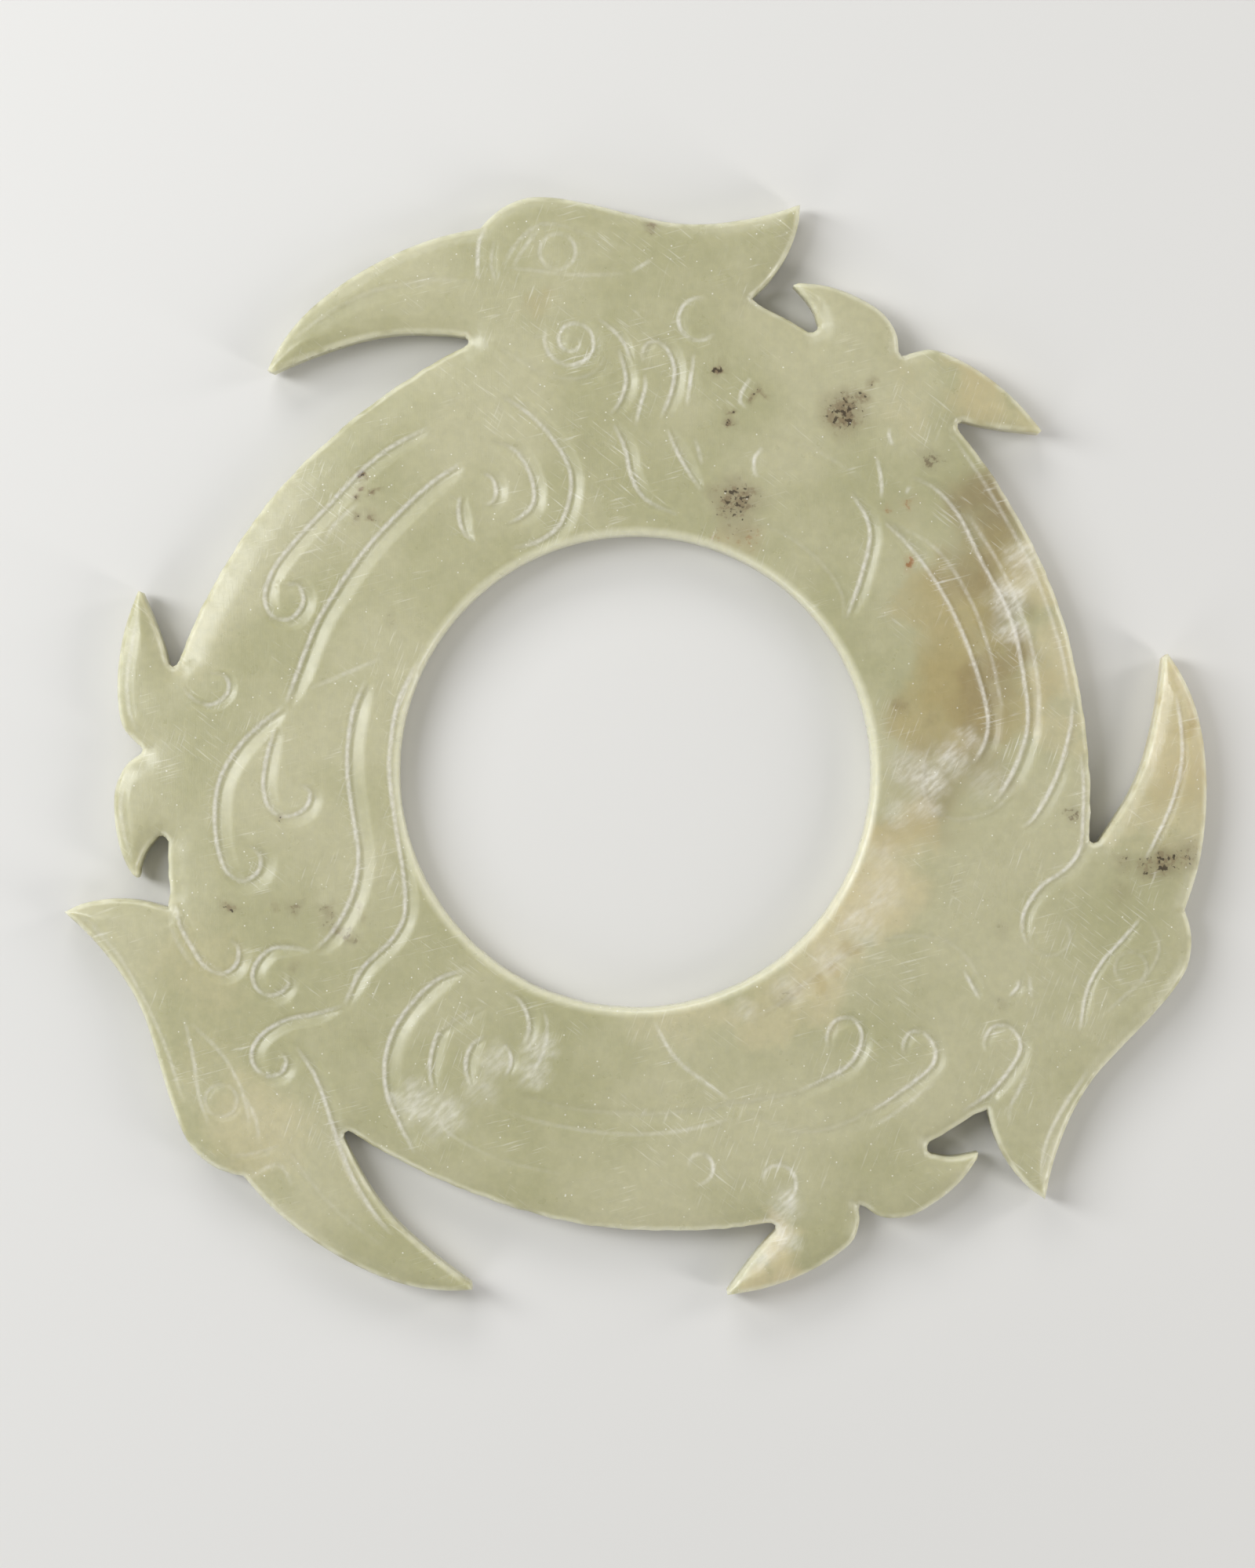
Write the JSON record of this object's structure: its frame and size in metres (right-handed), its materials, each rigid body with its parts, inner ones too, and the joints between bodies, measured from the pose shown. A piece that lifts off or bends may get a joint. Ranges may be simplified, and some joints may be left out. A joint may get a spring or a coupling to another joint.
{
  "type": "jade xuanji disc",
  "caption": "Flat jade ring with a wide bore, its rim cut into birds that chase each other round it, carved with curling lines on the face.",
  "frame": {"origin": "on the underside, below the middle of the disc's bounding box; the middle of the bore is 2.75 mm from it towards -Y", "axes": "+Z out of the carved face, +Y towards the crown of the first bird, +X to the right as the carved face is seen"},
  "size_m": [0.1216, 0.117, 0.005],
  "materials": {
    "jade": "soft polish"
  },
  "bodies": {
    "root": {"xuanji_disc": "jade"}
  },
  "joints": []
}
